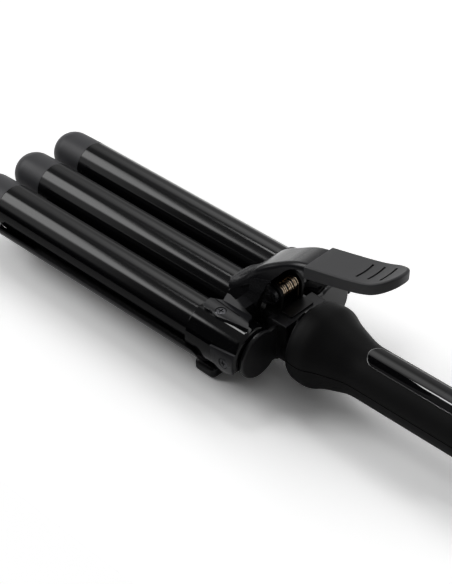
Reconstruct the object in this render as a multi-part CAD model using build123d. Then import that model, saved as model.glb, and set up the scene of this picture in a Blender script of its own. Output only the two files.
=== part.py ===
from build123d import *
import os
from math import cos, radians, sin, sqrt

# Triple-barrel hair waver. Millimetres.
# While it is built, x runs from the centres of the barrel tips towards the handle,
# y across the barrels and z up from the barrel axes. It is exported standing on its base.

# Fits
push_gap = 0.05         # between parts that are pushed together
turn_gap = 0.06         # radial gap of the hinge pin in the jaw

# Barrels
barrel_r = 11.0
barrel_wall = 1.2
barrel_pitch = 25.8
barrel_start = 13.5
outer_barrel_end = 162.0
middle_barrel_end = 150.0
tip_r = 10.7
tip_spigot = 8.0
heater_start = 28.0
heater_end = 132.0
heater_height = 6.4
sensor_r = 1.2
sensor_length = 6.0

# Sleeves and covers of the outer barrels
sleeve_start = 142.0
sleeve_wall = 1.5
sleeve_cap = 2.2
sleeve_back = 171.5
under_cut_x = 163.0     # behind this the sleeves and covers are cut away below
under_cut_z = -8.2
under_cut_end_z = -3.4
wire_hole_r = 4.0
wing_wall = 1.3
wing_top = 12.0
cover_wall = 1.0
cover_top = 4.6
screw_head_r = 2.5
screw_head_height = 1.0
upper_screw_x = 153.0
upper_screw_out = 0.7   # from the barrel axis, away from the middle
side_screw_x = 166.5

# Hinge
hinge_x = 166.0
hinge_z = 19.0
pin_r = 1.5
pin_half = 10.6
spring_wire = 1.1
spring_r = 3.0
spring_half = 5.4
bracket_ear_in = 5.8
bracket_ear_out = 7.4
bracket_ear_r = 4.6
bracket_base = 1.6
boss_in = 7.7
boss_out = 9.6
boss_r = 3.7
bracket_room_r = 9.0    # free space in the yoke around the bracket's ears
clip_r = 2.6
clip_thick = 0.5

# Arch and lever
arch_start = 138.5
arch_nose = 2.3         # the hood's sides start this far behind its middle
arch_end = 184.0
arch_end_half = 8.6
arch_channel_half = 6.4
lever_half = 9.4
lever_thick = 6.5
lever_root_z = 44.7
lever_round_x = 217.0
lever_end = 228.6
groove_half = 5.5
groove_width = 1.2
groove_depth = 0.8
groove_places = (208.4, 214.3, 220.3)

# Head of the handle
lobe_y = 23.4
lobe_z = -1.0
lobe_r = 11.5
head_front = 172.0
head_back = 173.6
head_round = 0.9
waist_top = 8.8
waist_bottom = -9.4
waist_front = 161.3
waist_half = 11.2
waist_step = 166.6
waist_nose_half = 8.4
neck_half = 13.2
neck_top = 11.2
neck_bottom = -8.6
neck_back = 178.6
collar_r = 13.5
collar_bore_r = 9.0
mouth_r = 15.7
collar_flare_r = 17.0
collar_flare_start = 179.6
collar_gap = 0.1        # to the face of the handle's mouth
stop_start = 170.4
stop_end = 176.6
stop_half = 7.2
stop_height = 1.0

# Handle
handle_r = 12.3
handle_z = -0.9
handle_wall = 2.4
mouth_x = 182.0
mouth_outer_r = 17.2
bulb_x = 190.0
bulb_r = 19.4
waist_x = 215.0
handle_end = 322.0
seam_z = -1.0
seam_groove = 0.5
seam_depth = 0.35
cap_length = 10.0
inlet_r = 4.6
cord_hole_r = 3.2

# Control panel and buttons
panel_start = 214.5
panel_end = 314.0
panel_width = 12.8
panel_thick = 1.2
panel_proud = 0.15
lens_x = 262.0
lens_length = 18.0
lens_width = 7.6
power_x = 303.0
up_x = 281.0
down_x = 290.5
button_r = 3.2
button_gap = 0.25
button_proud = 0.6
button_travel = 0.7
button_flange_r = 4.1
board_start = 236.0
board_end = 314.0
board_width = 15.6
board_thick = 1.6
board_top = 4.4
switch_body = 5.0

# Lower jaw
plate_inner_r = 13.3
plate_thick = 1.1
plate_start = 14.0
plate_end = 150.0
plate_lip_z = -3.2
plate_crest_z = -4.2
plate_corner = 3.2
plate_droop = 0.4       # degrees, towards the tips
floor_z = -24.4
keel_half = 9.0
keel_start = 70.0
sole_start = 92.0
foot_start = 140.0
foot_end = 152.5
foot_half = 31.0
foot_top = -17.5
foot_round = 2.6
strut_half = 10.0
base_screw_places = (104.0, 132.0)
base_screw_sink = 2.2


def rod(start, end, radius, y=0.0, z=0.0):
    # a cylinder along x
    middle = (start + end) / 2
    return Pos(middle, y, z) * Rot(0, 90, 0) * Cylinder(radius, end - start)


def cross_rod(y_start, y_end, radius, x, z):
    # a cylinder along y
    middle = (y_start + y_end) / 2
    return Pos(x, middle, z) * Rot(90, 0, 0) * Cylinder(radius, y_end - y_start)


def block(x0, x1, y0, y1, z0, z1):
    centre = Pos((x0 + x1) / 2, (y0 + y1) / 2, (z0 + z1) / 2)
    return centre * Box(x1 - x0, y1 - y0, z1 - z0)


def turned(edges, y=0.0, z=0.0):
    # a closed outline of (x, radius) turned about the x axis
    return Pos(0, y, z) * revolve(make_face(edges), Axis.X, 360)


def side_prism(outline, half, y=0.0):
    # an outline in the xz plane, as wide as half on both sides
    return Pos(0, y, 0) * extrude(Plane.XZ * make_face(outline), half, both=True)


def plan_prism(outline, z0, z1):
    return extrude(Plane.XY.offset(z0) * make_face(outline), z1 - z0)


def both_sides(shape):
    return [shape, mirror(shape, about=Plane.XZ)]


# Barrels, tips and what they hold

def barrel(y, end):
    return rod(barrel_start, end, barrel_r, y) - rod(barrel_start, end, barrel_r - barrel_wall, y)


def tip(y):
    bore = barrel_r - barrel_wall - push_gap
    spigot_end = barrel_start + tip_spigot
    corner = tip_r * cos(radians(45))
    outline = Curve() + [
        ThreePointArc((-tip_r, 0), (-corner, corner), (0, tip_r)),
        Polyline((0, tip_r), (barrel_start, barrel_r), (barrel_start, bore), (spigot_end, bore),
                 (spigot_end, bore - 1.6), (2, bore - 1.6), (2, 0), (-tip_r, 0)),
    ]
    return turned(outline, y)


def heater(y):
    bore = barrel_r - barrel_wall - push_gap
    bar = rod(heater_start, heater_end, bore, y)
    return bar & block(heater_start, heater_end, y - bore, y + bore,
                       -heater_height / 2, heater_height / 2)


def sensor():
    seat = heater_height / 2 + sensor_r
    return rod(heater_end - 30, heater_end - 30 + sensor_length, sensor_r, 0, seat)


def sleeve(y):
    inner = barrel_r + push_gap
    outer = inner + sleeve_wall
    cap_in = sleeve_back - sleeve_cap
    cap_out = sleeve_back
    edge = 2.0
    bend = edge * (1 - cos(radians(45)))
    outline = Curve() + [
        Polyline((cap_out - edge, outer), (sleeve_start + 0.6, outer), (sleeve_start, outer - 0.6),
                 (sleeve_start, inner), (cap_in, inner), (cap_in, wire_hole_r),
                 (cap_out, wire_hole_r), (cap_out, outer - edge)),
        ThreePointArc((cap_out, outer - edge), (cap_out - bend, outer - bend),
                      (cap_out - edge, outer)),
    ]
    return turned(outline, y) - under_cut(y)


def under_cut(y):
    back = sleeve_back + 1
    outline = Polyline((under_cut_x, -20), (under_cut_x, under_cut_z), (back, under_cut_end_z), (back, -20),
                       (under_cut_x, -20))
    return side_prism(outline, 20, y)


def outer_sleeve_r():
    return barrel_r + push_gap + sleeve_wall


def lower_cover(y):
    # a lug on the outward side of an outer sleeve; its front edge is an S seen from the side
    inner = outer_sleeve_r() + push_gap
    outer = inner + cover_wall
    back = sleeve_back
    ring = rod(150, back, outer, y) - rod(140, back + 1, inner, y)
    front = Spline((157.6, cover_top), (158.9, 2.2), (159.6, -1.4), (162.6, -5.2), (168, -15),
                   tangents=((1, -0.7), (0.5, -1)))
    outline = Curve() + [
        front,
        Polyline(front @ 1, (back + 1, -15), (back + 1, cover_top + 1.6), front @ 0),
    ]
    side = 1 if y > 0 else -1
    low, high = sorted((y, y - side * 20))
    shell = (ring & side_prism(outline, 20, y)) - block(140, back + 1, low, high, -20, 20)
    return shell - under_cut(y) - side_screw_hole(y, side)


def side_screw_hole(y, side):
    outer = outer_sleeve_r() + push_gap + cover_wall
    tip_y = y + side * (outer + 1)
    seat_y = y + side * (outer - screw_head_height)
    low, high = sorted((seat_y, tip_y))
    return cross_rod(low, high, screw_head_r + push_gap, side_screw_x, 0)


def side_screw(y):
    side = 1 if y > 0 else -1
    outer = outer_sleeve_r() + push_gap + cover_wall
    seat_y = y + side * (outer - screw_head_height)
    low, high = sorted((seat_y, y + side * outer))
    head = cross_rod(low, high, screw_head_r, side_screw_x, 0)
    return head


def upper_screw(y):
    top = outer_sleeve_r() + push_gap + wing_wall
    return Pos(upper_screw_x, y, top - screw_head_height / 2) * Cylinder(screw_head_r, screw_head_height)


# Yoke: hood over the middle barrel, arch, legs on the hinge pin and wings on the outer sleeves

def arch_crown():
    return Spline((arch_start, 12.4), (146.5, 17.8), (156.5, 29.2), (168, 37.4),
                  (arch_end, lever_root_z - 0.2), tangents=((1, 0.45), (1, 0.2)))


def arch_strap():
    crown = arch_crown()
    inner = Spline((arch_end, 41.6), (176, 38.6), (168.9, 31.1), (162.9, 21.2),
                   tangents=((-1, -0.25), (-0.35, -1)))
    outline = Curve() + [
        crown,
        Line(crown @ 1, inner @ 0),
        inner,
        Polyline(inner @ 1, (156, 21.5), (148, 14.8), (141, 9.0), (arch_start, 9.0), crown @ 0),
    ]
    strap = side_prism(outline, 14) & plan_prism(strap_plan(), 0, 60)
    long_edges = [e for e in strap.edges() if e.length > 43 and abs(e.center().Y) > 5]
    return fillet(long_edges, 2.6)


def strap_plan():
    # the hood and the arch from above, with a rounded nose over the middle barrel
    edge = Spline((arch_start + arch_nose, 8.9), (148, 10.0), (156, 10.4), (168, 8.9),
                  (arch_end, arch_end_half), tangents=((1, 0.3), (1, -0.02)))
    mirrored = mirror(edge, about=Plane.XZ)
    nose = ThreePointArc(mirrored @ 0, (arch_start, 0), edge @ 0)
    return Curve() + [edge, Line(edge @ 1, mirrored @ 1), mirrored, nose]


def arch_channel():
    outline = Polyline((153.5, 19.5), (157.6, 25.6), (163.5, 31.6), (170.5, 36.3), (178, 39.9), (190, 42.6),
                       (190, -20), (153.5, -20), (153.5, 19.5))
    return side_prism(outline, arch_channel_half)


def legs():
    outline = Polyline((155.6, 24), (153.6, 14), (154.6, 6), (155.2, -4), (157.2, -4), (157.6, 6),
                       (159.3, 12.8), (162.9, 21.2), (166, 28), (155.6, 24))
    leg = side_prism(outline, 10.4)
    arm = Polyline((160, 25), (hinge_x, hinge_z + boss_r), (hinge_x, hinge_z - boss_r), (159.8, 13), (160, 25))
    for side in (-1, 1):
        low, high = sorted((side * boss_in, side * boss_out))
        leg += cross_rod(low, high, boss_r, hinge_x, hinge_z)
        leg += side_prism(arm, (boss_out - boss_in) / 2, (low + high) / 2)
    return leg


def hood():
    inner = barrel_r + push_gap
    outer = inner + wing_wall
    cap = rod(arch_start, middle_barrel_end, outer) & plan_prism(strap_plan(), 8.2, 20)
    collar = rod(146, middle_barrel_end + 2.2, outer)
    return cap + collar - rod(130, middle_barrel_end + push_gap, inner)


def web_walls():
    # close the sides between the hood and the legs
    outline = Polyline((141.6, 9.3), (148, 14.9), (156, 21.6), (156, 4), (144, 4), (141.6, 9.3))
    walls = [side_prism(outline, 0.9, side * 8.9) for side in (-1, 1)]
    return [wall - rod(130, middle_barrel_end + 3, barrel_r + push_gap) for wall in walls]


def wing_plan():
    y = -barrel_pitch
    s_line = Spline((144.0, y - 2.6), (146.9, y - 3.6), (149.9, y - 3.3), (152.7, y - 4.0), (157, y - 3.5),
                    (164, y - 2.4), (169.9, y - 1.6))
    return Curve() + [
        s_line,
        Polyline(s_line @ 1, (165.6, y + 3.3), (165.4, y + 5.4), (163.4, y + 7.6), (154.2, y + 9.9),
                 (146.4, y + 11.9), (145, y + 11.7), (147.1, y + 6.9), (145.1, y + 3.8), (143.3, y + 3),
                 s_line @ 0),
    ]


def wing():
    # the front one; it sits on the sleeve, with a flat-topped flange towards the middle
    y = -barrel_pitch
    inner = outer_sleeve_r() + push_gap
    outer = inner + wing_wall
    body = rod(sleeve_start, 172, outer, y) + block(sleeve_start, 172, y, y + 13.8, 6, wing_top)
    shape = body & plan_prism(wing_plan(), 0, 20)
    shape -= rod(sleeve_start - 1, 175, inner, y)
    shape -= rod(sleeve_start - 1, middle_barrel_end + 3, barrel_r + push_gap + wing_wall)
    crease = Line((145.1, y + 3.9), (161.4, y + 2.3))
    return shape - trace_groove(crease, 0.6, wing_top - 0.5, 14)


def trace_groove(line, width, z0, z1):
    # a narrow slot along a line seen from above
    along = (line @ 1 - line @ 0).normalized()
    across = Vector(-along.Y, along.X, 0) * (width / 2)
    corners = [line @ 0 + across, line @ 1 + across, line @ 1 - across, line @ 0 - across]
    return plan_prism(Polyline(*corners, corners[0]), z0, z1)


def bridge():
    # joins a leg to the wing's flange, deep between the barrels
    shape = block(150, 157.2, -(barrel_pitch - 8.8), -8.0, -4, 11)
    shape -= rod(140, 175, outer_sleeve_r() + push_gap, -barrel_pitch)
    return shape - rod(140, middle_barrel_end + push_gap, barrel_r + push_gap)


def jaw_yoke():
    body = arch_strap() + legs() + web_walls() + both_sides(bridge())
    body -= arch_channel()
    body -= cross_rod(-boss_in, boss_in, bracket_room_r, hinge_x, hinge_z)
    body -= rod(120, middle_barrel_end + push_gap, barrel_r + push_gap)
    body += hood()
    body += both_sides(wing())
    body -= cross_rod(-pin_half - 2, pin_half + 2, pin_r + turn_gap, hinge_x, hinge_z)
    for y in upper_screw_ys():
        top = outer_sleeve_r() + push_gap + wing_wall
        sink = Pos(upper_screw_x, y, top) * Cylinder(screw_head_r + push_gap, screw_head_height * 2)
        body -= sink
    return body


def upper_screw_ys():
    place = barrel_pitch + upper_screw_out
    return (-place, place)


def lever_top():
    return Spline((arch_end + push_gap, lever_root_z), (196, 47.5), (208.4, 50.55), (216, 53.0), (220, 54.85),
                  (224, 57.2), (lever_end, 60.4), tangents=((1, 0.23), (1, 0.72)))


def lever_plan():
    # straight sides and a broad round end
    edge = Spline((lever_round_x, lever_half), (224.5, 7.0), (lever_end, 0), tangents=((1, 0), (0, -1)))
    mirrored = mirror(edge, about=Plane.XZ)
    root = arch_end + push_gap
    sides = Polyline(mirrored @ 0, (root, -lever_half), (root, lever_half), edge @ 0)
    return Curve() + [edge, mirrored, sides]


def thumb_lever():
    top = lever_top()
    low = Spline((lever_end, 54.8), (224, 51.4), (216, 47.2), (202, 42.8),
                 (arch_end + push_gap, lever_root_z - lever_thick), tangents=((-1, -0.8), (-1, -0.25)))
    outline = Curve() + [top, Line(top @ 1, low @ 0), low, Line(low @ 1, top @ 0)]
    body = side_prism(outline, lever_half + 1) & plan_prism(lever_plan(), 30, 70)
    rims = [e for e in body.edges() if e.length > 10 and e.center().X > arch_end + 1]
    body = fillet(rims, 0.9)
    sunk = Pos(0, -groove_depth, 0) * top
    band = Curve() + [top, Line(top @ 1, sunk @ 1), sunk, Line(sunk @ 0, top @ 0)]
    grooves = [side_prism(band, groove_half + 1) & plan_prism(groove_plan(x), 30, 70) for x in groove_places]
    return body - grooves


def groove_plan(x):
    # a shallow bow across the lever
    front = ThreePointArc((x - groove_width / 2, -groove_half), (x, 0), (x - groove_width / 2, groove_half))
    back = Pos(groove_width, 0, 0) * front
    return Curve() + [front, Line(front @ 1, back @ 1), back, Line(back @ 0, front @ 0)]


# Hinge

def hinge_bracket():
    base_top = waist_top + bracket_base
    base = block(waist_front + 0.4, 170.2, -bracket_ear_out, bracket_ear_out, waist_top, base_top)
    for side in (-1, 1):
        low, high = sorted((side * bracket_ear_in, side * bracket_ear_out))
        ear = Polyline((162, base_top), (hinge_x - bracket_ear_r, hinge_z), (hinge_x + bracket_ear_r, hinge_z),
                       (170, base_top), (162, base_top))
        base += side_prism(ear, (high - low) / 2, (low + high) / 2)
        base += cross_rod(low, high, bracket_ear_r, hinge_x, hinge_z)
        base -= cross_rod(low - 0.1, high + 0.1, pin_r + push_gap, hinge_x, hinge_z)
    return base


def hinge_pin():
    return cross_rod(-pin_half, pin_half, pin_r, hinge_x, hinge_z)


def pin_clips():
    clips = []
    for side in (-1, 1):
        low, high = sorted((side * (boss_out + 0.1), side * (boss_out + 0.1 + clip_thick)))
        clips.append(cross_rod(low, high, clip_r, hinge_x, hinge_z)
                     - cross_rod(low - 1, high + 1, pin_r + 0.02, hinge_x, hinge_z))
    return clips


def torsion_spring():
    outer = spring_r + spring_wire / 2
    coil = cross_rod(-spring_half, spring_half, outer, hinge_x, hinge_z)
    return coil - cross_rod(-spring_half - 1, spring_half + 1, outer - spring_wire, hinge_x, hinge_z)


# Head and neck

def head_housing():
    lobes = Sketch() + [Pos(side * lobe_y, lobe_z) * Circle(lobe_r) for side in (-1, 1)]
    waist = Pos(0, (waist_top + waist_bottom) / 2) * Rectangle(2 * lobe_y, waist_top - waist_bottom)
    plate = extrude(Plane.YZ.offset(head_front) * (lobes + waist), head_back - head_front)
    rim = plate.faces().sort_by(Axis.X)[-1].edges()
    plate = fillet(rim, head_round)
    nose = block(waist_front, waist_step, -waist_nose_half, waist_nose_half, waist_bottom, waist_top)
    boss = block(waist_step, head_front + 0.1, -waist_half, waist_half, waist_bottom, waist_top)
    return plate + nose + boss


def neck_block():
    body = block(head_back, neck_back, -neck_half, neck_half, neck_bottom, neck_top)
    lip = block(170.6, head_back + 0.1, -neck_half, neck_half, waist_top + 0.02, neck_top)
    for side in (-1, 1):
        lip -= rod(head_front - push_gap, head_back, lobe_r + push_gap, side * lobe_y, lobe_z)
    body += lip
    body = fillet(body.edges().filter_by(Axis.X), 0.8)
    spigot = rod(neck_back, mouth_x + 14, collar_bore_r, 0, handle_z)
    return body + spigot - rod(neck_back - 1, mouth_x + 15, 4.0, 0, handle_z)


def neck_collar():
    # flares out against the handle's mouth and is held inside it by a flange
    bore = collar_bore_r + push_gap
    flare_end = mouth_x - collar_gap
    outline = Curve() + [
        Polyline((neck_back, bore), (neck_back, collar_r), (collar_flare_start, collar_r)),
        Spline((collar_flare_start, collar_r), (181.2, 16.4), (flare_end, collar_flare_r),
               tangents=((0.3, 1), (1, 0.2))),
        Polyline((flare_end, collar_flare_r), (flare_end, collar_r), (mouth_x + 3, collar_r),
                 (mouth_x + 3, mouth_r - push_gap), (mouth_x + 5, mouth_r - push_gap), (mouth_x + 5, bore),
                 (neck_back, bore)),
    ]
    return turned(outline, 0, handle_z)


def lever_stop():
    # a low pad on top of the neck, in the gap under the arch
    pad = block(stop_start, stop_end, -stop_half, stop_half, neck_top, neck_top + stop_height)
    return fillet(pad.edges().filter_by(Axis.Z), 0.6)


# Handle

def handle_outline(offset, start):
    # half section of the handle's skin, moved inwards by the offset
    flare = Spline((bulb_x, bulb_r - offset), (196.5, 17.2 - offset), (204.8, 14.25 - offset),
                   (waist_x, handle_r - offset), tangents=((1, 0), (1, 0)))
    nose = Spline((start, mouth_outer_r - offset), (bulb_x, bulb_r - offset), tangents=((0.7, 1), (1, 0)))
    return nose, flare


def handle_body(offset, start, end):
    nose, flare = handle_outline(offset, start)
    outline = Curve() + [
        nose,
        flare,
        Polyline(flare @ 1, (end, handle_r - offset), (end, 0), (start, 0), nose @ 0),
    ]
    return turned(outline, 0, handle_z)


def handle_shell():
    shell = handle_body(0, mouth_x, handle_end)
    shell -= handle_body(handle_wall, mouth_x + 5 + push_gap, handle_end + 1)
    shell -= rod(mouth_x - 2, mouth_x + 5 + push_gap, mouth_r, 0, handle_z)
    return shell


def panel_plan(margin):
    half = panel_width / 2 + margin
    start = panel_start - margin
    end = panel_end + margin
    corner = half - 0.01
    face = Pos((start + end) / 2, 0) * RectangleRounded(end - start, 2 * half, corner)
    return extrude(face, 40)


def control_panel():
    skin = handle_body(-panel_proud, mouth_x, handle_end)
    core = handle_body(panel_thick, mouth_x + 2, handle_end + 1)
    body = (skin - core) & panel_plan(0)
    body -= button_holes(button_r + button_gap)
    return body - lens_block(push_gap)


def button_holes(radius):
    return [Pos(x, 0, 10) * Cylinder(radius, 30) for x in (power_x, up_x, down_x)]


def lens_block(margin):
    return Pos(lens_x, 0, 15) * Box(lens_length + 2 * margin, lens_width + 2 * margin, 20)


def display_lens():
    skin = handle_body(-panel_proud, mouth_x, handle_end)
    core = handle_body(panel_thick, mouth_x + 2, handle_end + 1)
    return (skin - core) & lens_block(0)


def upper_shell():
    shell = handle_shell() & block(mouth_x - 5, handle_end + 5, -30, 30, seam_z, 40)
    recess_floor = handle_body(panel_thick + push_gap, mouth_x + 2, handle_end + 1)
    recess = panel_plan(push_gap) - recess_floor
    seam = block(mouth_x - 5, handle_end + 5, -30, 30, seam_z, seam_z + seam_groove)
    seam -= handle_body(seam_depth, mouth_x, handle_end)
    return shell - recess - seam - button_holes(button_r + button_gap)


def lower_shell():
    shell = handle_shell() & block(mouth_x - 5, handle_end + 5, -30, 30, -40, seam_z - push_gap)
    inner = handle_r - handle_wall
    for x in (board_start + 8, (board_start + board_end) / 2, board_end - 10):
        rib = rod(x - 1, x + 1, inner + 0.2, 0, handle_z) & block(x - 1, x + 1, -20, 20, -20, seam_z - push_gap)
        post = block(x - 1, x + 1, -6.5, 6.5, seam_z - 1, board_top - board_thick)
        shell += rib + post
    return shell


def circuit_board():
    board = block(board_start, board_end, -board_width / 2, board_width / 2, board_top - board_thick, board_top)
    return board


def button_shape(x):
    top = handle_z + handle_r + button_proud
    inner_top = handle_z + sqrt((handle_r - handle_wall) ** 2 - button_flange_r ** 2) - 0.1
    cap = Pos(x, 0, (top + inner_top) / 2) * Cylinder(button_r, top - inner_top)
    cap = fillet(cap.edges().sort_by(Axis.Z)[-1], 0.5)
    flange = Pos(x, 0, inner_top - 0.4) * Cylinder(button_flange_r, 0.8)
    return cap + flange


def button_foot():
    inner_top = handle_z + sqrt((handle_r - handle_wall) ** 2 - button_flange_r ** 2) - 0.1
    return inner_top - 0.8


def tact_switches():
    plunger_top = button_foot() - button_travel - 0.1
    body_top = plunger_top - 1.0
    switches = []
    for x in (power_x, up_x, down_x):
        body = block(x - switch_body / 2, x + switch_body / 2, -switch_body / 2, switch_body / 2,
                     board_top, body_top)
        plunger = Pos(x, 0, (body_top + plunger_top) / 2) * Cylinder(1.5, plunger_top - body_top)
        switches.append(body + plunger)
    return switches


def end_cap():
    inner = handle_r - handle_wall - push_gap
    corner = 3.0
    bend = corner * (1 - cos(radians(45)))
    end = handle_end + cap_length
    outline = Curve() + [
        Polyline((handle_end - 6, inner), (handle_end, inner), (handle_end, handle_r), (end - corner, handle_r)),
        ThreePointArc((end - corner, handle_r), (end - bend, handle_r - bend), (end, handle_r - corner)),
        Polyline((end, handle_r - corner), (end, inlet_r + push_gap), (handle_end - 6, inlet_r + push_gap),
                 (handle_end - 6, inner)),
    ]
    return turned(outline, 0, handle_z)


def cord_inlet():
    end = handle_end + cap_length
    body = rod(handle_end + 1, end + 4, inlet_r, 0, handle_z)
    collar = rod(end + 0.1, end + 3, inlet_r + 2.0, 0, handle_z)
    body += collar
    return body - rod(handle_end, end + 5, cord_hole_r, 0, handle_z)


# Lower jaw

def droop():
    # turns the lower jaw's front end down about the back end of the plate
    return Pos(plate_end, 0, 0) * Rot(0, -plate_droop, 0) * Pos(-plate_end, 0, 0)


def discs(radius):
    return Sketch() + [Pos(y, 0) * Circle(radius) for y in (-barrel_pitch, 0, barrel_pitch)]


def lower_plate():
    section = discs(plate_inner_r + plate_thick) - discs(plate_inner_r)
    lips = Pos(0, plate_lip_z - 20) * Rectangle(200, 40)
    crests = Pos(0, 0) * Rectangle(1.4 * barrel_pitch, -2 * plate_crest_z)
    web = Pos(0, plate_crest_z - plate_thick / 2) * Rectangle(2 * barrel_pitch, plate_thick)
    section = (section & lips) - crests + (web - discs(plate_inner_r))
    plate = extrude(Plane.YZ.offset(plate_start) * section, plate_end - plate_start)
    side = Pos((plate_start + plate_end) / 2, plate_lip_z - 20) * RectangleRounded(
        plate_end - plate_start, 40, plate_corner)
    plate = plate & extrude(Plane.XZ * side, 60, both=True)
    return droop() * plate


def trough_cut(radius):
    cuts = [rod(0, plate_end + 20, radius, y) for y in (-barrel_pitch, 0, barrel_pitch)]
    return [droop() * cut for cut in cuts]


def lower_base():
    keel_side = Polyline((keel_start, -12), (keel_start, -18), (sole_start, floor_z), (foot_end, floor_z),
                         (foot_end, -12), (keel_start, -12))
    keel = side_prism(keel_side, keel_half)
    foot_low = block(foot_start, foot_end, -foot_half, foot_half, floor_z, foot_top)
    foot_low = fillet(foot_low.edges().filter_by(Axis.X), foot_round)
    foot_low = fillet(foot_low.edges().filter_by(Axis.Z), foot_round)
    saddle = block(foot_start + 3, plate_end, -foot_half + 5, foot_half - 5, foot_top - 0.5, -9)
    strut_side = Polyline((foot_end - 6, floor_z), (foot_end, floor_z), (head_front, waist_bottom - 3),
                          (head_front, waist_bottom - 0.02), (foot_end - 6, waist_bottom - 0.02),
                          (foot_end - 6, floor_z))
    strut = side_prism(strut_side, strut_half)
    body = keel + foot_low + saddle + strut
    body -= trough_cut(plate_inner_r + plate_thick + 0.02)
    body -= rod(100, foot_end + 2, barrel_r + wing_wall + 1.4)
    for x in base_screw_places:
        body -= Pos(x, 0, floor_z + base_screw_sink / 2) * Cylinder(screw_head_r + push_gap, base_screw_sink)
    return body


def base_screws():
    middle = floor_z + base_screw_sink - screw_head_height / 2
    return [Pos(x, 0, middle) * Cylinder(screw_head_r, screw_head_height) for x in base_screw_places]


# Export, standing on the base with the middle of the length at x = 0

parts = {
    "barrel_front": barrel(-barrel_pitch, outer_barrel_end),
    "barrel_middle": barrel(0, middle_barrel_end),
    "barrel_rear": barrel(barrel_pitch, outer_barrel_end),
    "tip_front": tip(-barrel_pitch),
    "tip_middle": tip(0),
    "tip_rear": tip(barrel_pitch),
    "heater_front": heater(-barrel_pitch),
    "heater_middle": heater(0),
    "heater_rear": heater(barrel_pitch),
    "temperature_sensor": sensor(),
    "sleeve_front": sleeve(-barrel_pitch),
    "sleeve_rear": sleeve(barrel_pitch),
    "lower_cover_front": lower_cover(-barrel_pitch),
    "lower_cover_rear": lower_cover(barrel_pitch),
    "side_screws": [side_screw(-barrel_pitch), side_screw(barrel_pitch)],
    "yoke_screws": [upper_screw(y) for y in upper_screw_ys()],
    "jaw_yoke": jaw_yoke(),
    "thumb_lever": thumb_lever(),
    "hinge_bracket": hinge_bracket(),
    "hinge_pin": hinge_pin(),
    "pin_clips": pin_clips(),
    "torsion_spring": torsion_spring(),
    "head_housing": head_housing(),
    "neck_block": neck_block(),
    "neck_collar": neck_collar(),
    "lever_stop": lever_stop(),
    "handle_upper_shell": upper_shell(),
    "handle_lower_shell": lower_shell(),
    "control_panel": control_panel(),
    "display_lens": display_lens(),
    "circuit_board": circuit_board(),
    "tact_switches": tact_switches(),
    "power_button": button_shape(power_x),
    "temp_up_button": button_shape(up_x),
    "temp_down_button": button_shape(down_x),
    "handle_end_cap": end_cap(),
    "cord_inlet": cord_inlet(),
    "lower_plate": lower_plate(),
    "lower_base": lower_base(),
    "base_screws": base_screws(),
}

front_end = -tip_r
back_end = handle_end + cap_length + 4
stand = Pos(-(front_end + back_end) / 2, 0, -floor_z)

os.makedirs("parts", exist_ok=True)
for name, shape in parts.items():
    solids = shape if isinstance(shape, list) else [shape]
    export_step(Compound(children=[stand * s for s in solids]), f"parts/{name}.step")
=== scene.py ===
import bpy, bmesh, math
from mathutils import Matrix, Vector


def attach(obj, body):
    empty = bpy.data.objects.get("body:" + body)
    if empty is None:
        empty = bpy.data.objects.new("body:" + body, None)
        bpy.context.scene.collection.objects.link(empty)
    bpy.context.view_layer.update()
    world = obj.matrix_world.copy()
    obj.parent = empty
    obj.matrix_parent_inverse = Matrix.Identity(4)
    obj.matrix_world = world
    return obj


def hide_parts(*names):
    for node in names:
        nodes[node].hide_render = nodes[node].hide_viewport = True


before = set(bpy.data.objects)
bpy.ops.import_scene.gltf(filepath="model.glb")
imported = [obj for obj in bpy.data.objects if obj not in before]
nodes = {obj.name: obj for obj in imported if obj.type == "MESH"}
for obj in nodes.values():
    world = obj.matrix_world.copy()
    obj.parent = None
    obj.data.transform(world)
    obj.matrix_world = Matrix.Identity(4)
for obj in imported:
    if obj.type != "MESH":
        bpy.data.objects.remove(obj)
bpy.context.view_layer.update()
mm = 0.001
fullTurn = 2 * math.pi
workX = 162.65   # sizes below are in mm, along from the middle of the tips' domes
workZ = 24.4     # and up from the barrel axes


def place(x, y, z):
    return Vector(((x - workX) * mm, y * mm, (z + workZ) * mm))


def addObject(name, data):
    thing = bpy.data.objects.new(name, data)
    bpy.context.collection.objects.link(thing)
    return thing


def finishMesh(work, name, material):
    # the worked mesh as a new object
    mesh = bpy.data.meshes.new(name)
    work.to_mesh(mesh)
    work.free()
    mesh.materials.append(material)
    return addObject(name, mesh)


def shadeByAngle(piece, degrees):
    piece.data.polygons.foreach_set("use_smooth", [True] * len(piece.data.polygons))
    piece.data.set_sharp_from_angle(angle=math.radians(degrees))


# helpers for shader and geometry trees

def setInput(tree, socket, value):
    # another node's output is linked, anything else is set as it is
    if isinstance(value, bpy.types.NodeSocket):
        tree.links.new(value, socket)
    else:
        socket.default_value = value


def addNode(tree, kind, x=0, y=0, inputs=None, **attributes):
    node = tree.nodes.new(kind)
    node.location = (x, y)
    for name, value in attributes.items():
        setattr(node, name, value)
    for name, value in (inputs or {}).items():
        setInput(tree, node.inputs[name], value)
    return node


def newGroup(name, kind, inputs, outputs):
    tree = bpy.data.node_groups.new(name, kind)
    for label, socketType, value in inputs:
        socket = tree.interface.new_socket(name=label, in_out="INPUT", socket_type="NodeSocket" + socketType)
        if value is not None:
            socket.default_value = value
    for label, socketType in outputs:
        tree.interface.new_socket(name=label, in_out="OUTPUT", socket_type="NodeSocket" + socketType)
    return tree, addNode(tree, "NodeGroupInput", -900, 0), addNode(tree, "NodeGroupOutput", 900, 0)


def mathNode(tree, operation, *values, clamp=False):
    node = addNode(tree, "ShaderNodeMath", operation=operation, use_clamp=clamp)
    for socket, value in zip(node.inputs, values):
        setInput(tree, socket, value)
    return node.outputs[0]


def times(tree, result, *others):
    for value in others:
        result = mathNode(tree, "MULTIPLY", result, value)
    return result


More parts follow.
